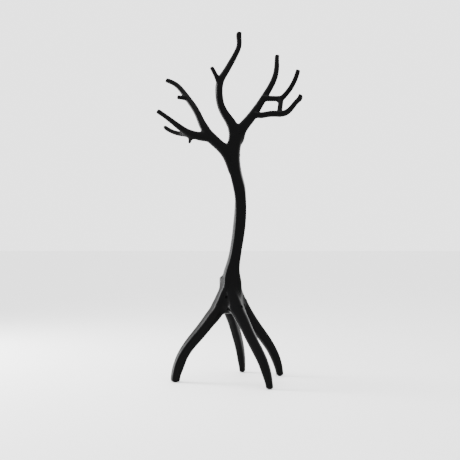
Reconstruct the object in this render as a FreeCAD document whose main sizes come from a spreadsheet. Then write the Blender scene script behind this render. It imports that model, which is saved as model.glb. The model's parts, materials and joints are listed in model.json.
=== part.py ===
"""Tree-shaped coat stand in lacquered wood.

A flared trunk stands on four curved legs and carries three forked boughs whose tips are the coat
hooks. Every wooden piece is a loft through rounded rectangular sections. Legs and boughs are scribed
to the trunk, located by dowels and drawn up by furniture bolts in threaded inserts.
Frame: +X to the right across the crown, +Y to the back, +Z up, origin on the floor. Millimetres.
"""
import FreeCAD, Part
import Sketcher
import math
import os

V = FreeCAD.Vector
UP = V(0, 0, 1)
doc = FreeCAD.newDocument("coat_stand")
sheet = doc.addObject("Spreadsheet::Sheet", "Sizes")
lengths = doc.addObject("Spreadsheet::Sheet", "Lengths")

# ---------------------------------------------------------------- driving dimensions
SIZES = {
    # wood
    "trunk_edge_radius": 12, "leg_edge_radius": 15, "bough_edge_radius": 9,
    "stem_base_height": 660, "stem_length": 690, "trunk_foot_height": 378,
    # legs: where each plane starts at the trunk, its direction seen from above, the foot's reach
    # and the twist of its section about its own run
    "left_leg_root_right": 0, "left_leg_azimuth": 192, "left_leg_reach": 316, "left_leg_turn": -13,
    "front_leg_root_right": -18, "front_leg_azimuth": 306.8, "front_leg_reach": 362,
    "front_leg_turn": -35,
    "right_leg_root_right": 0, "right_leg_azimuth": 26.5, "right_leg_reach": 310,
    "right_leg_turn": 0,
    "back_leg_root_right": -45, "back_leg_azimuth": 67.8, "back_leg_reach": 284,
    "back_leg_turn": 0,
    # furniture bolts and their inserts
    "bolt_diameter": 8, "bolt_clearance": 0.5, "bolt_head_diameter": 13, "bolt_head_length": 6,
    "hex_key_size": 5, "hex_key_depth": 4, "head_recess": 7, "counterbore_diameter": 16,
    "washer_thickness": 1.6, "cap_rim_height": 2.5, "cap_skirt_wall": 1.5, "cap_skirt_length": 4,
    "cap_chamfer": 0.5, "bolt_end_gap": 2, "drill_lead": 60, "drill_overrun": 1,
    "insert_diameter": 12, "insert_length": 18, "insert_setback": 5, "insert_socket_depth": 3,
    "side_bolt_height": 438, "side_bolt_azimuth": 198,
    "front_bolt_height": 412, "front_bolt_azimuth": 302,
    "back_bolt_height": 460, "back_bolt_azimuth": 64,
    # the bough bolts, counted down and up from the top of the trunk
    "left_bough_bolt_down": 113, "right_bough_bolt_up": 54,
    # dowels
    "dowel_diameter": 8, "dowel_length": 30, "dowel_chamfer": 1, "leg_dowel_spacing": 56,
    "bough_dowel_spacing": 44, "top_dowel_spacing": 30,
    "left_leg_dowel_height": 438, "front_leg_dowel_height": 424, "right_leg_dowel_height": 438,
    "back_leg_dowel_height": 460,
    # centre bough stud
    "stud_diameter": 10, "stud_length": 84, "stud_bite_above": 34,
    # feet
    "glide_diameter": 24, "glide_thickness": 4, "glide_chamfer": 1, "glide_recess": 2.5,
    "screw_diameter": 3.5, "screw_length": 18, "screw_head_diameter": 7, "screw_head_height": 2,
    "screw_head_sink": 1.5,
    # how far a line is drawn each way to find where it enters and leaves the wood
    "probe_reach": 400,
}

# Trunk sections: lean to the right, sway to the back, height, width, depth, turn about the upright.
# Heights of the flared base are above the floor; those of the stem are shares of its length.
TRUNK_BASE = [
    (0, 0, 0, 84, 84, 8),
    (0, 0, 70, 94, 86, 8),
    (3, 0, 146, 92, 80, 9),
    (2, 0, 216, 79, 70, 13),
]
TRUNK_STEM = [
    (14, 0, 0.00, 62, 62, 15),
    (36, 0, 0.19, 60, 62, 15),
    (49, 0, 0.38, 61, 61, 10),
    (47, 0, 0.54, 62, 59, -6),
    (28, 0, 0.67, 61, 58, -14),
    (14, 0, 0.78, 60, 57, -14),
    (13, 0, 0.87, 62, 56, -12),
    (24, 0, 1.00, 67, 56, -6),
]

# Leg sections in the leg's own upright plane: share of the reach, height, width, thickness.
LEGS = {
    "left_leg": [
        (0.05, 575, 28, 44), (0.10, 505, 46, 58), (0.175, 440, 58, 68), (0.27, 380, 63, 71),
        (0.41, 323, 59, 71), (0.565, 264, 57, 66), (0.735, 201, 55, 59), (0.865, 138, 55, 52),
        (0.94, 75, 56, 48), (0.975, -24, 46, 42),
    ],
    "front_leg": [
        (0.06, 560, 24, 36), (0.10, 495, 46, 52), (0.17, 435, 60, 62), (0.28, 375, 62, 60),
        (0.43, 310, 58, 55), (0.58, 245, 56, 51), (0.74, 180, 54, 47), (0.875, 115, 50, 44),
        (0.95, 60, 44, 40), (1.0, -24, 40, 36),
    ],
    "right_leg": [
        (0.05, 565, 26, 44), (0.09, 500, 46, 54), (0.155, 440, 56, 60), (0.26, 380, 62, 60),
        (0.40, 320, 59, 57), (0.57, 255, 56, 54), (0.735, 190, 52, 50), (0.865, 125, 49, 46),
        (0.945, 65, 46, 42), (0.99, -24, 40, 37),
    ],
    "back_leg": [
        (0.06, 560, 26, 44), (0.12, 495, 50, 52), (0.21, 435, 62, 56), (0.34, 375, 66, 54),
        (0.50, 310, 62, 46), (0.66, 245, 58, 46), (0.81, 180, 56, 45), (0.92, 115, 52, 42),
        (0.98, 60, 46, 38), (1.0, -24, 42, 36),
    ],
}

# Bough routes: offsets from the top of the trunk, right, back and up, then width, depth and turn.
BOUGHS = {
    "left_bough": {
        "stem": [(-14, 0, -210, 42, 46, -10), (-29, -2, -155, 48, 46, -8), (-55, -8, -99, 52, 44, 0),
                 (-94, -18, -57, 52, 42, 8), (-136, -30, -19, 52, 40, 12), (-168, -36, 16, 44, 38, 12)],
        "high_branch": [(-148, -32, -14, 38, 34, 12), (-177, -28, 44, 40, 34, 14),
                        (-199, -12, 92, 36, 31, 16), (-232, 12, 155, 34, 29, 18),
                        (-270, 38, 210, 32, 27, 18), (-300, 58, 252, 30, 25, 16),
                        (-338, 74, 290, 27, 24, 14), (-390, 84, 314, 24, 22, 12)],
        "high_spur": [(-262, 34, 204, 26, 22, 0), (-324, 26, 210, 22, 20, 0)],
        "low_branch": [(-128, -30, -18, 44, 36, 10), (-174, -48, -18, 43, 34, 12),
                       (-216, -68, -12, 40, 32, 12), (-260, -86, 3, 33, 29, 14),
                       (-316, -104, 38, 28, 26, 16), (-364, -118, 74, 26, 24, 16),
                       (-422, -128, 114, 25, 23, 14)],
        "low_twig": [(-246, -78, -8, 26, 26, 8), (-290, -62, -4, 24, 24, 8),
                     (-342, -40, 10, 22, 22, 8), (-394, -22, 42, 21, 20, 8)],
        "low_bud": [(-243, -76, -6, 22, 18, 0), (-248, -72, -32, 16, 15, 0), (-253, -70, -58, 20, 18, 0)],
    },
    "centre_bough": {
        "stem": [(-2, 0, -4, 54, 52, -8), (-20, -2, 52, 50, 46, 0), (-52, -8, 102, 44, 42, 10),
                 (-82, -14, 160, 38, 37, 18), (-92, -16, 226, 37, 36, 26), (-86, -8, 290, 37, 34, 30),
                 (-56, 10, 348, 33, 32, 26), (-26, 28, 402, 31, 30, 20), (4, 44, 460, 29, 28, 14),
                 (20, 54, 518, 28, 27, 10), (22, 60, 578, 27, 25, 8)],
        "spur": [(-86, -14, 272, 34, 26, 10), (-109, -14, 322, 26, 22, 10), (-134, -12, 370, 23, 20, 10)],
    },
    "right_bough": {
        "stem": [(4, 2, -60, 30, 30, 0), (26, 2, 22, 56, 44, 6), (62, 10, 70, 50, 42, 14),
                 (98, 24, 117, 45, 38, 16), (132, 40, 170, 38, 35, 18), (168, 60, 230, 34, 32, 18),
                 (202, 78, 290, 32, 30, 16), (224, 92, 348, 30, 28, 14), (231, 100, 404, 27, 26, 12),
                 (234, 106, 460, 25, 24, 10)],
        "bridge": [(140, 44, 206, 30, 28, 0), (200, 40, 204, 30, 28, 0), (250, 30, 202, 30, 28, 0)],
        "middle_branch": [(230, 36, 186, 28, 27, 10), (261, 24, 210, 28, 26, 12),
                          (295, 12, 248, 27, 25, 14), (324, 0, 298, 26, 24, 14),
                          (343, -8, 356, 25, 23, 12)],
        "strut": [(251, 30, 206, 28, 26, 0), (244, 6, 150, 28, 26, 0), (236, -14, 98, 32, 26, 0)],
        "low_branch": [(84, 18, 90, 37, 34, 10), (134, 8, 108, 34, 33, 8), (180, -8, 112, 32, 32, 6),
                       (226, -26, 111, 33, 31, 6), (269, -46, 113, 32, 29, 8),
                       (304, -66, 140, 28, 27, 10), (331, -84, 172, 27, 25, 12),
                       (351, -96, 206, 25, 24, 12)],
    },
}


def fill_sheet():
    """Write every driving dimension and section size into the sheet, one alias to a cell."""
    rows = dict(SIZES)
    for i, section in enumerate(TRUNK_BASE + TRUNK_STEM):
        for name, value in zip(("lean", "sway", "level", "width", "depth", "turn"), section):
            rows[f"trunk_{name}_{i}"] = value
    for leg, sections in LEGS.items():
        for i, section in enumerate(sections):
            for name, value in zip(("out", "height", "width", "depth"), section):
                rows[f"{leg}_{name}_{i}"] = value
    for bough, limbs in BOUGHS.items():
        for limb, sections in limbs.items():
            for i, section in enumerate(sections):
                for name, value in zip(("right", "back", "up", "width", "depth", "turn"), section):
                    rows[f"{bough}_{limb}_{name}_{i}"] = value
    for row, (alias, value) in enumerate(rows.items(), start=1):
        sheet.set(f"A{row}", alias)
        sheet.set(f"B{row}", str(value))
        sheet.setAlias(f"B{row}", alias)
    doc.recompute()


def size(alias):
    return float(sheet.get(alias))


# ---------------------------------------------------------------- wooden limbs
def rounded_section(name, width, depth, corner, place):
    """A rounded rectangle centred on its own origin, its sizes bound to sheet cells."""
    sketch = doc.addObject("Sketcher::SketchObject", name)
    half_w, half_d = size(width) / 2, size(depth) / 2
    r = min(size(corner), 0.8 * min(half_w, half_d))
    corners = [(half_w - r, -half_d + r), (half_w - r, half_d - r),
               (-half_w + r, half_d - r), (-half_w + r, -half_d + r)]
    starts = [V(-half_w + r, -half_d, 0), V(half_w, -half_d + r, 0),
              V(half_w - r, half_d, 0), V(-half_w, half_d - r, 0)]
    ends = [V(half_w - r, -half_d, 0), V(half_w, half_d - r, 0),
            V(-half_w + r, half_d, 0), V(-half_w, -half_d + r, 0)]
    for i in range(4):
        turn = (i - 1) * math.pi / 2
        circle = Part.Circle(V(*corners[i], 0), UP, r)
        sketch.addGeometry(Part.LineSegment(starts[i], ends[i]))
        sketch.addGeometry(Part.ArcOfCircle(circle, turn, turn + math.pi / 2))
    for i in range(8):
        sketch.addConstraint(Sketcher.Constraint("Tangent", i, 2, (i + 1) % 8, 1))
    for line, direction in ((0, "Horizontal"), (2, "Vertical"), (4, "Horizontal"), (6, "Vertical")):
        sketch.addConstraint(Sketcher.Constraint(direction, line))
    for arc in (3, 5, 7):
        sketch.addConstraint(Sketcher.Constraint("Equal", 1, arc))
    sketch.addConstraint(Sketcher.Constraint("Symmetric", 1, 3, 5, 3, -1, 1))
    for name, constraint, expression in (
        ("corner", Sketcher.Constraint("Radius", 1, r),
         f"min(Sizes.{corner}; 0.4 * Sizes.{width}; 0.4 * Sizes.{depth})"),
        ("width", Sketcher.Constraint("DistanceX", 6, 1, 2, 1, 2 * half_w), f"Sizes.{width}"),
        ("depth", Sketcher.Constraint("DistanceY", 0, 1, 4, 1, 2 * half_d), f"Sizes.{depth}"),
    ):
        index = sketch.addConstraint(constraint)
        sketch.renameConstraint(index, name)
        sketch.setExpression(f"Constraints.{name}", expression)
    sketch.Placement = place
    return sketch


def facing(centres, i):
    """The direction of a route at one of its points."""
    before, after = centres[max(i - 1, 0)], centres[min(i + 1, len(centres) - 1)]
    return (after - before).normalize()


def limb(name, centres, turns, across, corner):
    """Loft one limb. across: the direction in which a section with no turn has its width."""
    sections = []
    for i, centre in enumerate(centres):
        along = facing(centres, i)
        wide = (across(along) - along * across(along).dot(along)).normalize()
        wide = FreeCAD.Rotation(along, turns[i]).multVec(wide)
        place = FreeCAD.Placement(centre, FreeCAD.Rotation(wide, along.cross(wide), along, "ZXY"))
        sections.append(rounded_section(f"{name}_section_{i}", f"{name}_width_{i}",
                                        f"{name}_depth_{i}", corner, place))
    loft = doc.addObject("Part::Loft", name + "_loft")
    loft.Sections = sections
    loft.Solid = True
    loft.Ruled = False
    return loft


def heading(azimuth):
    """A level direction, its azimuth in degrees counted from the right towards the back."""
    angle = math.radians(azimuth)
    return V(math.cos(angle), math.sin(angle), 0)


def upright_across(along):
    return V(1, 0, 0)


def in_front_plane(along):
    """Width lies in the plane of the crown, square to the limb."""
    return V(along.z, 0, -along.x)


def trunk_centres():
    centres = []
    for i in range(len(TRUNK_BASE) + len(TRUNK_STEM)):
        level = size(f"trunk_level_{i}")
        height = size("trunk_foot_height") + level
        if i >= len(TRUNK_BASE):
            height = size("stem_base_height") + level * size("stem_length")
        centres.append(V(size(f"trunk_lean_{i}"), size(f"trunk_sway_{i}"), height))
    return centres


def leg_centres(leg):
    root = V(size(leg + "_root_right"), 0, 0)
    centres = []
    for i in range(len(LEGS[leg])):
        out = size(f"{leg}_out_{i}") * size(leg + "_reach")
        centres.append(root + heading(size(leg + "_azimuth")) * out + UP * size(f"{leg}_height_{i}"))
    return centres


def bough_centres(bough, limb_name):
    top = trunk_centres()[-1]
    name = f"{bough}_{limb_name}"
    return [top + V(size(f"{name}_right_{i}"), size(f"{name}_back_{i}"), size(f"{name}_up_{i}"))
            for i in range(len(BOUGHS[bough][limb_name]))]


def make_trunk():
    centres = trunk_centres()
    turns = [size(f"trunk_turn_{i}") for i in range(len(centres))]
    return limb("trunk", centres, turns, upright_across, "trunk_edge_radius")


def make_leg(leg):
    sideways = UP.cross(heading(size(leg + "_azimuth")))

    def across(along):
        return sideways.cross(along)

    centres = leg_centres(leg)
    turns = [size(leg + "_turn")] * len(centres)
    return limb(leg, centres, turns, across, "leg_edge_radius")


def make_bough(bough):
    lofts = []
    for limb_name, sections in BOUGHS[bough].items():
        name = f"{bough}_{limb_name}"
        turns = [size(f"{name}_turn_{i}") for i in range(len(sections))]
        lofts.append(limb(name, bough_centres(bough, limb_name), turns, in_front_plane,
                          "bough_edge_radius"))
    doc.recompute()
    whole = doc.addObject("Part::MultiFuse", bough + "_whole")
    whole.Shapes = lofts
    whole.Refine = False
    return whole


def cut(name, base, tools):
    """Take one or more tools out of a base."""
    doc.recompute()
    tool = tools[0]
    if len(tools) > 1:
        tool = doc.addObject("Part::MultiFuse", name + "_tools")
        tool.Shapes = tools
        tool.Refine = False
    result = doc.addObject("Part::Cut", name)
    result.Base = base
    result.Tool = tool
    result.Refine = False
    doc.recompute()
    return result


# ---------------------------------------------------------------- turned hardware
def turned(name, outline):
    """A body turned about its own Z axis. outline: corners as (radius, height) expressions."""
    body = doc.addObject("PartDesign::Body", name)
    planes = {plane.Role: plane for plane in body.Origin.OriginFeatures}
    sketch = body.newObject("Sketcher::SketchObject", name + "_outline")
    sketch.AttachmentSupport = [(planes["XZ_Plane"], "")]
    sketch.MapMode = "FlatFace"
    count = len(outline)
    corners = [V(10 + i, 10 + i * i, 0) for i in range(count)]
    for i in range(count):
        sketch.addGeometry(Part.LineSegment(corners[i], corners[(i + 1) % count]))
    for i in range(count):
        sketch.addConstraint(Sketcher.Constraint("Coincident", i, 2, (i + 1) % count, 1))
    for i, (radius, height) in enumerate(outline):
        pin_corner(sketch, i, "DistanceX", -2, radius)
        pin_corner(sketch, i, "DistanceY", -1, height)
    doc.recompute()
    turning = body.newObject("PartDesign::Revolution", name + "_turning")
    turning.Profile = sketch
    turning.ReferenceAxis = (sketch, ["V_Axis"])
    turning.Angle = 360
    doc.recompute()
    return body


def pin_corner(sketch, corner, direction, axis, expression):
    """Hold one coordinate of a corner: on the sketch axis when it is zero, else by a bound size."""
    if expression == "0":
        sketch.addConstraint(Sketcher.Constraint("PointOnObject", corner, 1, axis))
        return
    index = sketch.addConstraint(Sketcher.Constraint(direction, -1, 1, corner, 1, 10.0 + corner))
    label = f"{direction}_{corner}"
    sketch.renameConstraint(index, label)
    sketch.setExpression(f"Constraints.{label}", expression)


def rod(name, diameter, start, along, length):
    """A round rod or drill of a bound diameter."""
    cylinder = doc.addObject("Part::Cylinder", name)
    cylinder.setExpression("Radius", f"{diameter} / 2")
    cylinder.Height = length
    cylinder.Placement = FreeCAD.Placement(start, FreeCAD.Rotation(UP, along))
    return cylinder


def seat(body, point, along):
    body.Placement = FreeCAD.Placement(point, FreeCAD.Rotation(UP, along))
    return body


def reach_inside(shape, point, along):
    """Distances from a point at which a straight line first enters and last leaves a solid."""
    far = size("probe_reach")
    line = Part.makeLine(point - along * far, point + along * far)
    inside = shape.common(line)
    distances = [(vertex.Point - point).dot(along) for vertex in inside.Vertexes]
    return min(distances), max(distances)


def make_bolt(name, shank_length):
    """Cap-head bolt: its head's seat at zero, shank up the Z axis, a hexagon socket in the head."""
    note_length(name + "_shank", shank_length)
    body = turned(name, [
        ("0", "-Sizes.bolt_head_length"),
        ("Sizes.bolt_head_diameter / 2", "-Sizes.bolt_head_length"),
        ("Sizes.bolt_head_diameter / 2", "0"),
        ("Sizes.bolt_diameter / 2", "0"),
        ("Sizes.bolt_diameter / 2", f"Lengths.{name}_shank"),
        ("0", f"Lengths.{name}_shank"),
    ])
    cut_hexagon(body, name, "-Sizes.bolt_head_length")
    return body


def cut_hexagon(body, name, face_height):
    """Cut a hexagon socket for a key into the face of a head."""
    planes = {plane.Role: plane for plane in body.Origin.OriginFeatures}
    sketch = body.newObject("Sketcher::SketchObject", name + "_socket_outline")
    sketch.AttachmentSupport = [(planes["XY_Plane"], "")]
    sketch.MapMode = "FlatFace"
    sketch.setExpression(".AttachmentOffset.Base.z", face_height)
    radius = size("hex_key_size") / math.sqrt(3)
    corners = [V(radius * math.cos(k * math.pi / 3), radius * math.sin(k * math.pi / 3), 0)
               for k in range(6)]
    for k in range(6):
        sketch.addGeometry(Part.LineSegment(corners[k], corners[(k + 1) % 6]))
    circle = sketch.addGeometry(Part.Circle(V(0, 0, 0), UP, radius), True)
    sketch.addConstraint(Sketcher.Constraint("Coincident", circle, 3, -1, 1))
    for k in range(6):
        sketch.addConstraint(Sketcher.Constraint("Coincident", k, 2, (k + 1) % 6, 1))
        sketch.addConstraint(Sketcher.Constraint("PointOnObject", k, 1, circle))
    for k in range(1, 6):
        sketch.addConstraint(Sketcher.Constraint("Equal", 0, k))
    sketch.addConstraint(Sketcher.Constraint("PointOnObject", 0, 1, -1))
    index = sketch.addConstraint(Sketcher.Constraint("Radius", circle, radius))
    sketch.renameConstraint(index, "key")
    sketch.setExpression("Constraints.key", "Sizes.hex_key_size / sqrt(3)")
    doc.recompute()
    before = body.Shape.Volume
    socket = body.newObject("PartDesign::Pocket", name + "_socket")
    socket.Profile = sketch
    socket.Type = 0
    socket.Reversed = True
    socket.setExpression("Length", "Sizes.hex_key_depth")
    doc.recompute()
    if body.Shape.Volume >= before:
        raise RuntimeError(name + ": the hexagon socket cuts nothing")


def note_length(alias, value):
    """Put a length that follows from the driving dimensions into the second sheet."""
    row = 1
    while lengths.getContents(f"A{row}"):
        row += 1
    lengths.set(f"A{row}", alias)
    lengths.set(f"B{row}", str(round(value, 3)))
    lengths.setAlias(f"B{row}", alias)
    lengths.recompute()


def make_insert(name):
    """Threaded insert: a sleeve closed at its far end, with the bolt's bore up its Z axis."""
    return turned(name, [
        ("Sizes.bolt_diameter / 2", "0"),
        ("Sizes.insert_diameter / 2", "0"),
        ("Sizes.insert_diameter / 2", "Sizes.insert_length"),
        ("0", "Sizes.insert_length"),
        ("0", "Sizes.insert_length - Sizes.insert_socket_depth"),
        ("Sizes.bolt_diameter / 2", "Sizes.insert_length - Sizes.insert_socket_depth"),
    ])


def make_washer(name):
    return turned(name, [
        ("Sizes.bolt_diameter / 2", "0"),
        ("Sizes.counterbore_diameter / 2", "0"),
        ("Sizes.counterbore_diameter / 2", "Sizes.washer_thickness"),
        ("Sizes.bolt_diameter / 2", "Sizes.washer_thickness"),
    ])


def make_cap(name):
    """Cover cap: a disc that fills the mouth of the counterbore, with a skirt that grips its wall."""
    return turned(name, [
        ("0", "0"),
        ("Sizes.counterbore_diameter / 2 - Sizes.cap_chamfer", "0"),
        ("Sizes.counterbore_diameter / 2", "Sizes.cap_chamfer"),
        ("Sizes.counterbore_diameter / 2", "Sizes.cap_rim_height + Sizes.cap_skirt_length"),
        ("Sizes.counterbore_diameter / 2 - Sizes.cap_skirt_wall",
         "Sizes.cap_rim_height + Sizes.cap_skirt_length"),
        ("Sizes.counterbore_diameter / 2 - Sizes.cap_skirt_wall", "Sizes.cap_rim_height"),
        ("0", "Sizes.cap_rim_height"),
    ])


def make_glide(name):
    """Glide: a disc under the foot, let into it, with a countersunk hole for its screw."""
    return turned(name, [
        ("Sizes.screw_head_diameter / 2", "0"),
        ("Sizes.glide_diameter / 2 - Sizes.glide_chamfer", "0"),
        ("Sizes.glide_diameter / 2", "Sizes.glide_chamfer"),
        ("Sizes.glide_diameter / 2", "Sizes.glide_thickness + Sizes.glide_recess"),
        ("Sizes.screw_diameter / 2", "Sizes.glide_thickness + Sizes.glide_recess"),
        ("Sizes.screw_diameter / 2", "Sizes.screw_head_sink + Sizes.screw_head_height"),
        ("Sizes.screw_head_diameter / 2", "Sizes.screw_head_sink"),
    ])


def make_screw(name):
    """Countersunk wood screw, point up, in its place in the glide."""
    return turned(name, [
        ("0", "Sizes.screw_head_sink"),
        ("Sizes.screw_head_diameter / 2", "Sizes.screw_head_sink"),
        ("Sizes.screw_diameter / 2", "Sizes.screw_head_sink + Sizes.screw_head_height"),
        ("Sizes.screw_diameter / 2", "Sizes.screw_length"),
        ("0", "Sizes.screw_length + Sizes.screw_diameter"),
    ])


# ---------------------------------------------------------------- joints
class Joint:
    """Collects what a bolted joint adds to the assembly and what it drills out of each wood piece."""

    def __init__(self):
        self.drills = {}
        self.pieces = []

    def drill(self, piece, tool):
        self.drills.setdefault(piece, []).append(tool)

    def add(self, piece):
        self.pieces.append(piece)
        return piece


def bolt_through(joints, name, line, blanks, passes, holds):
    """Bolt one or more pieces to another: head let into the first, thread in an insert in the last.

    line: a point on the bolt and its direction, from head to thread. passes: the pieces that the
    shank goes through, head side first. holds: the piece that the insert sits in.
    """
    point, along = line
    mouth = reach_inside(blanks[passes[0]], point, along)[0]
    last = reach_inside(blanks[passes[-1]], point, along)[1]
    recess = size("cap_rim_height") + size("cap_skirt_length") + size("head_recess")
    washer_at = point + along * (mouth + recess)
    head_seat = washer_at - along * size("washer_thickness")
    insert_at = point + along * (last + size("insert_setback"))
    far_end = insert_at + along * (size("insert_length") - size("insert_socket_depth"))
    shank = (far_end - head_seat).dot(along) - size("bolt_end_gap")

    joints.add(seat(make_bolt(name + "_bolt", shank), head_seat, along))
    joints.add(seat(make_washer(name + "_washer"), head_seat, along))
    joints.add(seat(make_insert(name + "_insert"), insert_at, along))
    joints.add(seat(make_cap(name + "_cap"), point + along * mouth, along))

    outside = point + along * (mouth - size("drill_lead"))
    before_last = point + along * (last - size("drill_lead"))
    clearance = "(Sizes.bolt_diameter + 2 * Sizes.bolt_clearance)"
    overrun = size("drill_overrun")
    for piece in passes:
        joints.drill(piece, rod(f"{name}_hole_in_{piece}", clearance, head_seat, along,
                                (insert_at - head_seat).Length + overrun))
    joints.drill(passes[0], rod(f"{name}_counterbore", "Sizes.counterbore_diameter", outside, along,
                                (washer_at - outside).Length))
    joints.drill(holds, rod(f"{name}_lead_hole", clearance, before_last, along,
                            (insert_at - before_last).Length + overrun))
    joints.drill(holds, rod(f"{name}_insert_hole", "Sizes.insert_diameter", insert_at, along,
                            size("insert_length")))


def dowels(joints, name, line, spacing, blanks, pair):
    """A pair of dowels across a joint, side by side along the upright, half in each piece."""
    point, along = line
    rods = []
    for side in (-0.5, 0.5):
        centre = point + UP * side * spacing
        face = reach_inside(blanks[pair[0]], centre, along)[1]
        start = centre + along * (face - size("dowel_length") / 2)
        pin = rod(f"{name}_{'lower' if side < 0 else 'upper'}", "Sizes.dowel_diameter", start, along,
                  size("dowel_length"))
        rods.append(pin)
        for piece in pair:
            joints.drill(piece, pin)
    doc.recompute()
    group = doc.addObject("Part::Compound", name)
    group.Links = rods
    joints.add(group)


def leg_joints(joints, blanks):
    """One long bolt ties the left and right legs through the trunk; front and back have their own."""
    axis = trunk_centres()[1]

    def at(height):
        return V(axis.x, axis.y, height)

    bolt_through(joints, "side_leg", (at(size("side_bolt_height")), heading(size("side_bolt_azimuth"))),
                 blanks, ["right_leg", "trunk"], "left_leg")
    bolt_through(joints, "front_leg",
                 (at(size("front_bolt_height")), heading(size("front_bolt_azimuth"))),
                 blanks, ["trunk"], "front_leg")
    bolt_through(joints, "back_leg", (at(size("back_bolt_height")), heading(size("back_bolt_azimuth"))),
                 blanks, ["trunk"], "back_leg")
    for leg in LEGS:
        root = at(size(leg + "_dowel_height")) + V(size(leg + "_root_right"), 0, 0)
        dowels(joints, leg + "_dowels", (root, heading(size(leg + "_azimuth"))),
               size("leg_dowel_spacing"), blanks, ["trunk", leg])


def bough_joints(joints, blanks):
    """The side boughs are drawn up by cross bolts; the centre bough screws down on a stud."""
    top = trunk_centres()[-1]
    left_at = top - UP * size("left_bough_bolt_down")
    bolt_through(joints, "left_bough", (left_at, V(-1, 0, 0)), blanks, ["trunk"], "left_bough")
    dowels(joints, "left_bough_dowels", (left_at, V(-1, 0, 0)), size("bough_dowel_spacing"), blanks,
           ["trunk", "left_bough"])
    right_at = top + UP * size("right_bough_bolt_up")
    bolt_through(joints, "right_bough", (right_at, V(1, 0, 0)), blanks, ["centre_bough"],
                 "right_bough")
    stud_joint(joints, blanks)


def stud_joint(joints, blanks):
    """A threaded stud and two dowels hold the centre bough on the flat top of the trunk."""
    top = trunk_centres()[-1]
    foot = top - UP * (size("stud_length") - size("stud_bite_above"))
    stud = joints.add(rod("centre_bough_stud", "Sizes.stud_diameter", foot, UP, size("stud_length")))
    pins = []
    for side in (-0.5, 0.5):
        start = top + V(0, side * size("top_dowel_spacing"), -size("dowel_length") / 2)
        name = "centre_bough_dowel_" + ("front" if side < 0 else "back")
        pins.append(rod(name, "Sizes.dowel_diameter", start, UP, size("dowel_length")))
    group = doc.addObject("Part::Compound", "centre_bough_dowels")
    group.Links = pins
    joints.add(group)
    for piece in ("trunk", "centre_bough"):
        for tool in [stud] + pins:
            joints.drill(piece, tool)


def foot_glides(joints, blanks):
    """Each foot stands on a glide that is let into its sole and held by one screw."""
    sole_height = size("glide_thickness")
    for leg in LEGS:
        soles = [face for face in blanks[leg].Faces
                 if face.BoundBox.ZLength < 0.01 and abs(face.BoundBox.ZMin - sole_height) < 0.01]
        centre = soles[0].CenterOfMass
        under = V(centre.x, centre.y, 0)
        joints.add(seat(make_glide(leg + "_glide"), under, UP))
        screw = joints.add(seat(make_screw(leg + "_glide_screw"), under, UP))
        joints.drill(leg, rod(leg + "_glide_recess", "Sizes.glide_diameter",
                              V(centre.x, centre.y, sole_height), UP, size("glide_recess")))
        joints.drill(leg, screw)


# ---------------------------------------------------------------- assembly
def floor_block():
    """Everything below the soles, taken off the legs so that they end flat."""
    half = 2 * max(size(leg + "_reach") for leg in LEGS)
    block = doc.addObject("Part::Box", "below_the_soles")
    block.Length = 2 * half
    block.Width = 2 * half
    block.Height = half
    block.Placement.Base = V(-half, -half, size("glide_thickness") - half)
    return block


def scribed_pieces():
    """The wooden pieces before drilling, each scribed to the ones fitted before it."""
    trunk = make_trunk()
    below = floor_block()
    pieces = {"trunk": trunk}
    fitted = [trunk]
    for leg in LEGS:
        whole = make_leg(leg)
        pieces[leg] = cut(leg + "_scribed", whole, fitted + [below])
        fitted.append(whole)
    left, centre, right = [make_bough(bough) for bough in BOUGHS]
    pieces["left_bough"] = cut("left_bough_scribed", left, [trunk])
    pieces["centre_bough"] = cut("centre_bough_scribed", centre, [trunk])
    pieces["right_bough"] = cut("right_bough_scribed", right, [trunk, centre])
    return pieces


def check(nodes):
    """Every object of the document computes, and every sub-part is a whole, valid shape."""
    doc.recompute()
    for thing in doc.Objects:
        if "Invalid" in thing.State or "Error" in thing.State:
            raise RuntimeError(f"{thing.Name}: {thing.State}")
    for name, node in nodes.items():
        shape = node.Shape
        if shape.isNull() or not shape.isValid() or not shape.Solids:
            raise RuntimeError(f"{name} has no valid solid")
        expected = 2 if name.endswith("dowels") else 1
        if len(shape.Solids) != expected:
            raise RuntimeError(f"{name} is in {len(shape.Solids)} pieces, not {expected}")


def write(nodes):
    """Write one file per sub-part, with the origin on the floor under the middle of the stand."""
    box = FreeCAD.BoundBox()
    for node in nodes.values():
        box.add(node.Shape.optimalBoundingBox(True, False))
    shift = V(-box.Center.x, -box.Center.y, -box.ZMin)
    os.makedirs("parts", exist_ok=True)
    for name, node in nodes.items():
        shape = node.Shape.copy()
        shape.translate(shift)
        shape.exportStep(f"parts/{name}.step")
    print("box", [round(x, 1) for x in (box.XLength, box.YLength, box.ZLength)], "shift", shift)


def main():
    fill_sheet()
    scribed = scribed_pieces()
    blanks = {name: piece.Shape for name, piece in scribed.items()}
    joints = Joint()
    leg_joints(joints, blanks)
    bough_joints(joints, blanks)
    foot_glides(joints, blanks)
    nodes = {}
    for name, piece in scribed.items():
        piece.Label = name + "_blank"
        finished = cut(name + "_drilled", piece, joints.drills[name])
        finished.Label = name
        nodes[name] = finished
    for piece in joints.pieces:
        nodes[piece.Label] = piece
    check(nodes)
    write(nodes)
    print(len(nodes), "sub-parts")


main()
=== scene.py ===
"""Tree-shaped coat stand: the lacquered wood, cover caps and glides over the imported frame."""

import json
import math

import bmesh
import bpy
import numpy as np
from bpy.props import FloatProperty, FloatVectorProperty, IntProperty, PointerProperty
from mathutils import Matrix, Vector, noise
from mathutils.bvhtree import BVHTree


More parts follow.
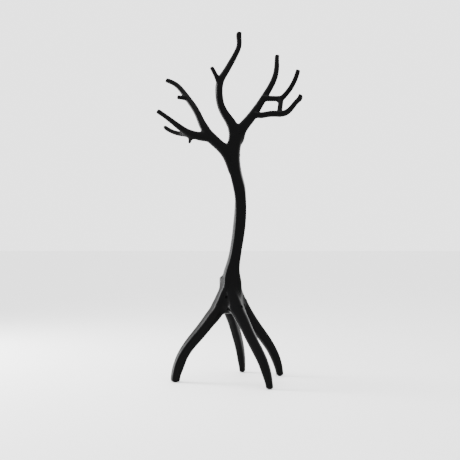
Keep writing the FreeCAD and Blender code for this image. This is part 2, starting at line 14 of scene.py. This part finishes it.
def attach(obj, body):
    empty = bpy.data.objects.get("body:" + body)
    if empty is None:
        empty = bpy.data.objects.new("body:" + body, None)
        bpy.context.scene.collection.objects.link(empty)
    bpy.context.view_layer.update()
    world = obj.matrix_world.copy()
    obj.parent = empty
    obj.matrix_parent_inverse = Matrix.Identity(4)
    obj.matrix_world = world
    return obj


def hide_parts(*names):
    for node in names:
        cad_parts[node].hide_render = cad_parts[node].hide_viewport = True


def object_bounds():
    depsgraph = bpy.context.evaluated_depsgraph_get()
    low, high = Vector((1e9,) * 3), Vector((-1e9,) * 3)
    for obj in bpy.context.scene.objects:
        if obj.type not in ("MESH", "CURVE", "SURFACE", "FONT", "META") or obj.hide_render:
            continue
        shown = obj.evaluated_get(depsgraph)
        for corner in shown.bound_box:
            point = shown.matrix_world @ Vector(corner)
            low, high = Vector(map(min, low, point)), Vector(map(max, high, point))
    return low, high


bl_info = {
    "name": "Tree coat stand",
    "version": (1, 0, 0),
    "blender": (4, 5, 0),
    "location": "3D View > Sidebar > Coat Stand",
    "description": "Lacquered wooden coat stand with its caps, glides, floor and lights",
    "category": "Object",
}

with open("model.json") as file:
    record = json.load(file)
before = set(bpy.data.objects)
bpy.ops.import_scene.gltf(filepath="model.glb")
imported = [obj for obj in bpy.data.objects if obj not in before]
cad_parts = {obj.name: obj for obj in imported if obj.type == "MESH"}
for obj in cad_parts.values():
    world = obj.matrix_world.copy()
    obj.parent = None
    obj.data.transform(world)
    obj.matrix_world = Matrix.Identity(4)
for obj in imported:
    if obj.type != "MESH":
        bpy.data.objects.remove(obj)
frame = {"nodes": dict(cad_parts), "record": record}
CAD_LOW, CAD_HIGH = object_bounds()

LEGS = ("left_leg", "front_leg", "right_leg", "back_leg")
BOUGHS = ("left_bough", "centre_bough", "right_bough")
BOLTED = ("side_leg", "front_leg", "back_leg", "left_bough", "right_bough")
CAPS = tuple(joint + "_cap" for joint in BOLTED)
CAP_HOST = {"side_leg_cap": "right_leg", "front_leg_cap": "trunk", "back_leg_cap": "trunk",
            "left_bough_cap": "trunk", "right_bough_cap": "centre_bough"}
WOOD = ("trunk",) + LEGS + BOUGHS

SAND_STRENGTH = 0.5  # how far one smoothing pass moves a point towards its neighbours' middle
BRANCH_RADIUS = 0.014  # typical radii, to make up for what smoothing takes off
TRUNK_RADIUS = 0.036
FILL_PASSES = 4  # smoothing between swelling a surface and drawing it back
CAP_STEPS = 48
# from the rim inside the wood to the dome: share of the radius, height in cap heights
CAP_PROFILE = ((1.0, -3.0), (1.0, 0.35), (0.95, 0.75), (0.85, 0.9), (0.6, 1.1), (0.3, 1.25))
FLOOR_REACH = 30.0
CAMERA_RIGHT = 0.002


# ---------------------------------------------------------------- what a user may change
class CoatStandWood(bpy.types.PropertyGroup):
    """Sizes of the sanded and rounded wood."""

    grid: FloatProperty(name="Mesh grid", description="Spacing of the worked surface",
                        default=0.003, min=0.0015, max=0.01, unit="LENGTH")
    passes: IntProperty(name="Sanding", description="Passes that soften the whole surface",
                        default=12, min=0, max=60)
    crotch_passes: IntProperty(name="Crotch sanding", default=110, min=0, max=300,
                               description="Passes that run joined limbs together")
    fillet: FloatProperty(name="Crotch fillet", description="How full the crotches are",
                          default=0.010, unit="LENGTH")
    web: FloatProperty(name="Base fill", description="How full the hollows between the legs are",
                       default=0.030, unit="LENGTH")
    web_low: FloatProperty(name="Base fill from", description="Where the base fill starts",
                           default=0.355, unit="LENGTH")
    web_high: FloatProperty(name="Base fill to", description="Where the base fill ends",
                            default=0.64, unit="LENGTH")
    web_ease: FloatProperty(name="Base fill easing", description="Height over which it comes in",
                            default=0.060, unit="LENGTH")
    base_low: FloatProperty(name="Base joint from", default=0.29, unit="LENGTH",
                            description="Where the crotch sanding of the base starts")
    base_high: FloatProperty(name="Base joint to", description="Where it ends",
                             default=0.60, unit="LENGTH")
    crown_low: FloatProperty(name="Crown joint from", default=1.12, unit="LENGTH",
                             description="Where the crotch sanding of the crown starts")
    crown_high: FloatProperty(name="Crown joint to", description="Where it ends",
                              default=1.46, unit="LENGTH")
    blend_near: FloatProperty(name="Blend from", description="Depth of skin carried onto the blend",
                              default=0.005, unit="LENGTH")
    blend_far: FloatProperty(name="Blend to", description="Depth below which a joint face stays",
                             default=0.016, unit="LENGTH")
    joint_gap: FloatProperty(name="Joint line", description="Depth of the line where two pieces meet",
                             default=0.0004, unit="LENGTH")
    joint_reach: FloatProperty(name="Joint line reach", description="Half width of the joint line",
                               default=0.0045, unit="LENGTH")
    hand_wave: FloatProperty(name="Hand-worked wave", description="Height of the carved unevenness",
                             default=0.0007, unit="LENGTH")
    wave_length: FloatProperty(name="Wave length", description="Spacing of the carved unevenness",
                               default=0.055, unit="LENGTH")
    cap_radius: FloatProperty(name="Cap radius", description="Radius of a cover cap",
                              default=0.008, unit="LENGTH")
    cap_proud: FloatProperty(name="Cap height", default=0.001, unit="LENGTH",
                             description="How far a cover cap stands out of the wood")
    cap_probe: FloatProperty(name="Cap search", default=0.05, unit="LENGTH",
                             description="How far outside a cap its surface is looked for")


class CoatStandFinish(bpy.types.PropertyGroup):
    """Colours and sheen."""

    lacquer: FloatVectorProperty(name="Lacquer", description="Colour of the black lacquer",
                                 subtype="COLOR", default=(0.0008, 0.0008, 0.0009))
    worn: FloatVectorProperty(name="Rubbed edge", description="Colour where the lacquer is rubbed",
                              subtype="COLOR", default=(0.006, 0.0055, 0.005))
    sheen_low: FloatProperty(name="Smoothest", description="Roughness of polished patches",
                             subtype="FACTOR", default=0.24, min=0, max=1)
    sheen_high: FloatProperty(name="Dullest", description="Roughness of dull patches",
                              subtype="FACTOR", default=0.36, min=0, max=1)
    cap: FloatVectorProperty(name="Cover caps", description="Colour of the moulded caps",
                             subtype="COLOR", default=(0.0007, 0.0007, 0.0007))
    glide: FloatVectorProperty(name="Glides", description="Colour of the nylon glides",
                               subtype="COLOR", default=(0.03, 0.03, 0.032))


class CoatStandStage(bpy.types.PropertyGroup):
    """Floor, lamps and camera."""

    floor: FloatVectorProperty(name="Floor", description="Colour of the floor",
                               subtype="COLOR", default=(0.86, 0.86, 0.86))
    sky: FloatProperty(name="Sky", description="Strength of the white surroundings", default=2.8)
    camera_height: FloatProperty(name="Camera height", description="Above the floor",
                                 default=0.825, unit="LENGTH")
    camera_distance: FloatProperty(name="Camera distance", description="From the stand's middle",
                                   default=4.870, unit="LENGTH")
    lens: FloatProperty(name="Lens", description="Focal length on a 36 mm sensor", default=69.4)


def wood():
    return bpy.context.scene.coat_stand_wood


def finish():
    return bpy.context.scene.coat_stand_finish


def stage():
    return bpy.context.scene.coat_stand_stage


# ---------------------------------------------------------------- shader maths
class Tree:
    """A material's nodes, built by name and joined by values or links."""

    def __init__(self, name):
        self.material = bpy.data.materials.new(name)
        self.material.use_nodes = True
        self.nodes = self.material.node_tree.nodes
        self.links = self.material.node_tree.links
        self.nodes.clear()

    def node(self, kind, settings=None, **inputs):
        """Add a node: its settings first, then its sockets, named or numbered as in_0."""
        made = self.nodes.new(kind)
        for key, value in (settings or {}).items():
            if key == "stops":
                set_stops(made.color_ramp, value)
            else:
                setattr(made, key, value)
        for key, value in inputs.items():
            socket = made.inputs[int(key[3:])] if key.startswith("in_") else made.inputs[key]
            self.feed(socket, value)
        return made

    def feed(self, socket, value):
        if isinstance(value, Wire):
            self.links.new(value.socket, socket)
        else:
            socket.default_value = value

    def wire(self, kind, settings=None, out=0, **inputs):
        return Wire(self, self.node(kind, settings, **inputs).outputs[out])


def set_stops(ramp, stops):
    while len(ramp.elements) < len(stops):
        ramp.elements.new(0.5)
    for element, (position, value) in zip(ramp.elements, stops):
        element.position = position
        element.color = (value, value, value, 1)


class Wire:
    """A socket whose arithmetic adds Math nodes."""

    def __init__(self, tree, socket):
        self.tree = tree
        self.socket = socket

    def math(self, operation, first, second):
        return self.tree.wire("ShaderNodeMath", {"operation": operation}, in_0=first, in_1=second)

    def __add__(self, other):
        return self.math("ADD", self, other)

    def __radd__(self, other):
        return self.math("ADD", other, self)

    def __sub__(self, other):
        return self.math("SUBTRACT", self, other)

    def __rsub__(self, other):
        return self.math("SUBTRACT", other, self)

    def __mul__(self, other):
        return self.math("MULTIPLY", self, other)

    def __rmul__(self, other):
        return self.math("MULTIPLY", other, self)

    def between(self, low, high):
        """This wire, 0 to 1, spread from one value to another."""
        return self * (high - low) + low

    def steps(self, *stops):
        return self.tree.wire("ShaderNodeValToRGB", {"stops": stops}, Fac=self)


def places(tree):
    """The point on the object, in metres."""
    return tree.wire("ShaderNodeTexCoord", out=3)


def stretched(tree, scale):
    """The point on the object with each axis scaled, which draws out a pattern."""
    return tree.wire("ShaderNodeVectorMath", {"operation": "MULTIPLY"}, in_0=places(tree), in_1=scale)


def patches(tree, vector, scale, detail=3.0, rough=0.5):
    return tree.wire("ShaderNodeTexNoise", Vector=vector, Scale=scale, Detail=detail, Roughness=rough)


def mixed(tree, factor, first, second):
    """One colour run into another."""
    made = tree.node("ShaderNodeMix", {"data_type": "RGBA"})
    for index, value in ((0, factor), (6, first), (7, second)):
        tree.feed(made.inputs[index], value)
    return Wire(tree, made.outputs[2])


def colour(rgb):
    return (*rgb, 1.0)


def coated(tree, base, roughness, relief, strength, distance, fixed=None):
    """Finish a material: one surface shader with its varying and its constant sockets."""
    bump = tree.wire("ShaderNodeBump", Height=relief, Strength=strength, Distance=distance)
    shader = tree.node("ShaderNodeBsdfPrincipled", **{"Base Color": base, "Roughness": roughness,
                                                     "Normal": bump})
    for name, value in (fixed or {}).items():
        shader.inputs[name].default_value = value
    tree.node("ShaderNodeOutputMaterial", Surface=Wire(tree, shader.outputs[0]))
    return tree.material


def lacquered_wood():
    """Black satin lacquer over wood: faint drawn-out grain, sanding haze and rubbed edges."""
    tree = Tree("lacquered_wood")
    here = places(tree)
    grain = patches(tree, stretched(tree, (260.0, 260.0, 14.0)), 1.0, 5.0, 0.6)
    peel = patches(tree, here, 420.0, 2.0)
    haze = patches(tree, here, 9.0, 4.0)
    smears = patches(tree, stretched(tree, (60.0, 60.0, 7.0)), 1.0, 4.0)
    edge = tree.wire("ShaderNodeNewGeometry", out=7).steps((0.505, 0.0), (0.56, 1.0))
    rub = edge * patches(tree, here, 34.0, 5.0).steps((0.42, 0.0), (0.68, 1.0))
    base = mixed(tree, rub * 0.55, colour(finish().lacquer), colour(finish().worn))
    sheen = (haze * 0.6 + smears * 0.4).between(finish().sheen_low, finish().sheen_high)
    relief = grain * 0.6 + peel * 0.25 + haze * 0.15
    return coated(tree, base, sheen + rub * 0.05, relief, 0.16, 0.0006, {"Specular IOR Level": 0.04})


def moulded_plastic(name, rgb, roughness, shine):
    """Moulded plastic with a fine spark-eroded texture. shine: strength of its reflections."""
    tree = Tree(name)
    texture = patches(tree, places(tree), 1600.0, 2.0)
    cloud = patches(tree, places(tree), 60.0)
    base = mixed(tree, cloud * 0.5, colour(rgb), colour([c * 1.5 + 0.002 for c in rgb]))
    rough = cloud.between(roughness - 0.06, roughness + 0.06)
    return coated(tree, base, rough, texture, 0.25, 0.0001, {"Specular IOR Level": shine})


def plated_steel():
    """Zinc-plated steel with turning marks."""
    tree = Tree("plated_steel")
    marks = patches(tree, stretched(tree, (120.0, 120.0, 2600.0)), 1.0, 2.0)
    cloud = patches(tree, places(tree), 90.0)
    base = mixed(tree, cloud, colour((0.46, 0.47, 0.49)), colour((0.62, 0.61, 0.58)))
    return coated(tree, base, cloud.between(0.28, 0.42), marks, 0.2, 0.0001, {"Metallic": 1.0})


def raw_beech():
    """Beech dowel: pale wood with short dark flecks."""
    tree = Tree("raw_beech")
    grain = patches(tree, stretched(tree, (600.0, 600.0, 60.0)), 1.0, 4.0)
    fleck = patches(tree, stretched(tree, (900.0, 900.0, 160.0)), 1.0).steps((0.6, 0.0), (0.7, 1.0))
    warm = mixed(tree, grain, colour((0.60, 0.43, 0.27)), colour((0.50, 0.34, 0.20)))
    base = mixed(tree, fleck * 0.5, warm, colour((0.28, 0.17, 0.09)))
    return coated(tree, base, grain.between(0.55, 0.7), grain, 0.3, 0.0002)


# ---------------------------------------------------------------- mesh work
def link(name, mesh):
    piece = bpy.data.objects.new(name, mesh)
    bpy.context.scene.collection.objects.link(piece)
    return piece


def joined(name, nodes):
    """One mesh that holds copies of several CAD nodes."""
    work = bmesh.new()
    for node in nodes:
        work.from_mesh(frame["nodes"][node].data)
    mesh = bpy.data.meshes.new(name)
    work.to_mesh(mesh)
    work.free()
    mesh.materials.clear()
    return link(name, mesh)


def apply_modifiers(piece):
    graph = bpy.context.evaluated_depsgraph_get()
    worked = bpy.data.meshes.new_from_object(piece.evaluated_get(graph))
    old = piece.data
    piece.modifiers.clear()
    piece.data = worked
    bpy.data.meshes.remove(old)
    return piece


def remeshed(piece, grid):
    modifier = piece.modifiers.new("grid", "REMESH")
    modifier.mode = "VOXEL"
    modifier.voxel_size = grid
    return apply_modifiers(piece)


def sanded(piece, passes, where=None):
    """Smooth a surface. where: gives every height a share of the smoothing, from 0 to 1."""
    modifier = piece.modifiers.new("sand", "SMOOTH")
    modifier.factor = SAND_STRENGTH
    modifier.iterations = passes
    if where:
        group = piece.vertex_groups.new(name="sand")
        shares = np.round(where(points_of(piece.data)[:, 2]), 2)
        for share in np.unique(shares):
            group.add(np.flatnonzero(shares == share).tolist(), float(share), "REPLACE")
        modifier.vertex_group = group.name
    return apply_modifiers(piece)


def surface_tree(piece):
    return BVHTree.FromObject(piece, bpy.context.evaluated_depsgraph_get())


def points_of(mesh):
    flat = np.zeros(len(mesh.vertices) * 3, np.float32)
    mesh.vertices.foreach_get("co", flat)
    return flat.reshape(-1, 3)


def normals_of(mesh):
    flat = np.zeros(len(mesh.vertices) * 3, np.float32)
    mesh.vertex_normals.foreach_get("vector", flat)
    return flat.reshape(-1, 3)


def put_points(mesh, points):
    mesh.vertices.foreach_set("co", np.ascontiguousarray(points, np.float32).ravel())
    mesh.update()


def swell(piece, height):
    """Move a surface out along its normals. height: one length, or one for every point."""
    out = normals_of(piece.data) * np.reshape(height, (-1, 1))
    put_points(piece.data, points_of(piece.data) + out)


def shrinkage(passes, radius):
    """How far a round limb of this radius draws in when it's smoothed."""
    return passes * SAND_STRENGTH * wood().grid * wood().grid / (4 * radius)


def eased(value, low, high):
    """0 below low, 1 above high, eased between them."""
    share = min(max((value - low) / (high - low), 0.0), 1.0)
    return share * share * (3 - 2 * share)


def plateau(heights, low, high):
    """1 over the middle half of a stretch of heights, eased down to 0 at both ends of it."""
    away = np.abs(heights - (low + high) / 2) / ((high - low) / 2)
    share = np.clip((1 - away) / 0.5, 0, 1)
    return share * share * (3 - 2 * share)


def at_joints(heights):
    """How strongly each height is sanded: fully where legs or boughs run out of the trunk."""
    sizes = wood()
    return np.maximum(plateau(heights, sizes.base_low, sizes.base_high),
                      plateau(heights, sizes.crown_low, sizes.crown_high))


def at_web(heights):
    """The short stretch in which the legs and the trunk are carved as one mass."""
    sizes = wood()
    ease_in = np.clip((heights - sizes.web_low) / sizes.web_ease, 0, 1)
    ease_out = np.clip((sizes.web_high - heights) / (2 * sizes.web_ease), 0, 1)
    share = np.minimum(ease_in, ease_out)
    return share * share * (3 - 2 * share)


def filled(piece, where, depth):
    """Fill hollows narrower than twice the depth: swell the surface, join it up, draw it back."""
    swell(piece, where(points_of(piece.data)[:, 2]) * depth)
    remeshed(piece, wood().grid)
    sanded(piece, FILL_PASSES)
    swell(piece, where(points_of(piece.data)[:, 2]) * -depth)


class Blend:
    """The whole stand as one sanded surface, which every wooden piece's skin is carried onto."""

    def __init__(self):
        grid = wood().grid
        parts = WOOD + CAPS
        raw = remeshed(joined("raw_whole", parts), grid)
        self.raw = surface_tree(raw)
        smooth = remeshed(joined("sanded_whole", parts), grid)
        sanded(smooth, wood().passes)
        swell(smooth, shrinkage(wood().passes, BRANCH_RADIUS))
        filled(smooth, at_joints, wood().fillet)
        filled(smooth, at_web, wood().web)
        sanded(smooth, wood().crotch_passes, where=at_joints)
        share = at_joints(points_of(smooth.data)[:, 2])
        swell(smooth, share * shrinkage(wood().crotch_passes, TRUNK_RADIUS))
        self.smooth = surface_tree(smooth)
        for helper in (raw, smooth):
            bpy.data.objects.remove(helper)
        self.pieces = {name: surface_tree(frame["nodes"][name]) for name in WOOD}


def carried(piece, name, blend):
    """Carry the skin of one piece onto the blend; its joint faces inside the wood stay put."""
    neighbours = [tree for other, tree in blend.pieces.items() if other != name]
    sizes = wood()
    reach = sizes.joint_reach
    points = points_of(piece.data)
    for i, row in enumerate(points):
        here = Vector(row)
        hit = blend.raw.find_nearest(here, sizes.blend_far)
        skin = 0 if hit[0] is None else 1 - eased(hit[3], sizes.blend_near, sizes.blend_far)
        if skin == 0:
            continue
        target, normal = blend.smooth.find_nearest(here)[:2]
        height = noise.noise(target / sizes.wave_length) * sizes.hand_wave
        gaps = [hit[3] for hit in (tree.find_nearest(here, reach) for tree in neighbours) if hit[0]]
        if gaps:
            height -= (1 - eased(min(gaps), 0.0, reach)) * sizes.joint_gap
        points[i] = here.lerp(target + normal * height, skin)
    put_points(piece.data, points)


def wooden_piece(name, blend, material):
    solids = [name] + [cap for cap, host in CAP_HOST.items() if host == name]
    piece = remeshed(joined(name + "_wood", solids), wood().grid)
    carried(piece, name, blend)
    piece.data.shade_smooth()
    piece.data.materials.append(material)
    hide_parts(name)
    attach(piece, "root")


def middle_of(piece):
    """The middle of a piece's box."""
    points = points_of(piece.data)
    return Vector((points.min(axis=0) + points.max(axis=0)) / 2)


def cover_cap(name, blend, material):
    """A slightly domed cap pressed into the sanded wood over a bolt head."""
    middle = middle_of(frame["nodes"][name])
    out = (middle - middle_of(frame["nodes"][name.replace("_cap", "_bolt")])).normalized()
    place, normal = blend.smooth.ray_cast(middle + out * wood().cap_probe, -out)[:2]
    turn = normal.to_track_quat("Z", "Y")
    radius, proud = wood().cap_radius, wood().cap_proud
    work = bmesh.new()
    rings = []
    for share, height in CAP_PROFILE:
        ring = []
        for step in range(CAP_STEPS):
            angle = 2 * math.pi * step / CAP_STEPS
            arm = Vector((math.cos(angle), math.sin(angle), 0)) * radius * share
            ring.append(work.verts.new(place + turn @ (arm + Vector((0, 0, height * proud)))))
        rings.append(ring)
    for lower, upper in zip(rings, rings[1:]):
        for i in range(CAP_STEPS):
            j = (i + 1) % CAP_STEPS
            work.faces.new((lower[i], lower[j], upper[j], upper[i]))
    work.faces.new(list(reversed(rings[0])))
    work.faces.new(rings[-1])
    mesh = bpy.data.meshes.new(name + "_cover")
    work.to_mesh(mesh)
    work.free()
    mesh.shade_smooth()
    mesh.materials.append(material)
    cap = link(name + "_cover", mesh)
    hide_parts(name)
    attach(cap, "root")


def finished(name, material):
    """Give a carried-over CAD node its material."""
    node = frame["nodes"][name]
    node.data.materials.clear()
    node.data.materials.append(material)


# ---------------------------------------------------------------- operators
class COATSTAND_OT_wood(bpy.types.Operator):
    """Make the trunk, legs and boughs as sanded, lacquered wood, with their cover caps"""

    bl_idname = "coatstand.wood"
    bl_label = "Wooden pieces"

    def execute(self, context):
        blend = Blend()
        material = lacquered_wood()
        for name in WOOD:
            wooden_piece(name, blend, material)
        cap = moulded_plastic("cap_plastic", finish().cap, 0.6, 0.0)
        for name in CAPS:
            cover_cap(name, blend, cap)
        return {"FINISHED"}


class COATSTAND_OT_hardware(bpy.types.Operator):
    """Finish the bolts, inserts, dowels, glides and screws"""

    bl_idname = "coatstand.hardware"
    bl_label = "Hardware"

    def execute(self, context):
        steel = plated_steel()
        beech = raw_beech()
        glide = moulded_plastic("nylon_glide", finish().glide, 0.5, 0.3)
        by_slot = {"hardware_steel": steel, "dowel_beech": beech, "glide_plastic": glide}
        for subpart in frame["record"]["subparts"]:
            material = by_slot.get(subpart["material_slot"])
            if material:
                finished(subpart["node"], material)
        return {"FINISHED"}


class COATSTAND_OT_stage(bpy.types.Operator):
    """Lay the floor, hang the soft lamps and set up the camera"""

    bl_idname = "coatstand.stage"
    bl_label = "Stage"

    def execute(self, context):
        make_floor()
        make_lamps()
        make_camera()
        return {"FINISHED"}


def make_floor():
    size = FLOOR_REACH
    mesh = bpy.data.meshes.new("floor")
    corners = [(-size, -size, 0), (size, -size, 0), (size, size, 0), (-size, size, 0)]
    mesh.from_pydata(corners, [], [(0, 1, 2, 3)])
    floor = link("floor", mesh)
    tree = Tree("pale_floor")
    cloud = patches(tree, places(tree), 2.0)
    base = mixed(tree, cloud, colour(stage().floor), colour([c * 0.97 for c in stage().floor]))
    mesh.materials.append(coated(tree, base, 0.6, cloud, 0.02, 0.001))


def make_lamp(name, place, aim, size, power):
    data = bpy.data.lights.new(name, "AREA")
    data.shape = "RECTANGLE"
    data.size, data.size_y = size
    data.energy = power
    lamp = bpy.data.objects.new(name, data)
    lamp.location = place
    lamp.rotation_euler = (Vector(aim) - Vector(place)).to_track_quat("-Z", "Y").to_euler()
    bpy.context.scene.collection.objects.link(lamp)


def make_lamps():
    world = bpy.data.worlds.new("studio")
    world.use_nodes = True
    sky = world.node_tree.nodes["Background"]
    sky.inputs["Color"].default_value = (1, 1, 1, 1)
    sky.inputs["Strength"].default_value = stage().sky
    bpy.context.scene.world = world
    middle = (0, 0, CAD_HIGH.z / 2)
    make_lamp("left_softbox", (-3.2, 0.9, 1.3), middle, (1.6, 3.0), 520)
    make_lamp("top_softbox", (-0.8, -0.6, 4.2), middle, (3.0, 3.0), 60)


def make_camera():
    data = bpy.data.cameras.new("camera")
    data.sensor_width = 36
    data.lens = stage().lens
    camera = bpy.data.objects.new("camera", data)
    camera.location = (CAMERA_RIGHT, -stage().camera_distance, stage().camera_height)
    camera.rotation_euler = (math.pi / 2, 0, 0)
    bpy.context.scene.collection.objects.link(camera)
    bpy.context.scene.camera = camera


class COATSTAND_PT_panel(bpy.types.Panel):
    """The stand's operators in the sidebar"""

    bl_label = "Coat Stand"
    bl_space_type = "VIEW_3D"
    bl_region_type = "UI"
    bl_category = "Coat Stand"

    def draw(self, context):
        for operator in OPERATORS:
            self.layout.operator(operator.bl_idname)


GROUPS = {"coat_stand_wood": CoatStandWood, "coat_stand_finish": CoatStandFinish,
          "coat_stand_stage": CoatStandStage}
OPERATORS = (COATSTAND_OT_wood, COATSTAND_OT_hardware, COATSTAND_OT_stage)


def register():
    for kind in (*GROUPS.values(), *OPERATORS, COATSTAND_PT_panel):
        bpy.utils.register_class(kind)
    for name, group in GROUPS.items():
        setattr(bpy.types.Scene, name, PointerProperty(type=group))


def unregister():
    for name in GROUPS:
        delattr(bpy.types.Scene, name)
    for kind in reversed((*GROUPS.values(), *OPERATORS, COATSTAND_PT_panel)):
        bpy.utils.unregister_class(kind)


def main():
    register()
    bpy.ops.coatstand.wood()
    bpy.ops.coatstand.hardware()
    bpy.ops.coatstand.stage()


if __name__ == "__main__":
    main()
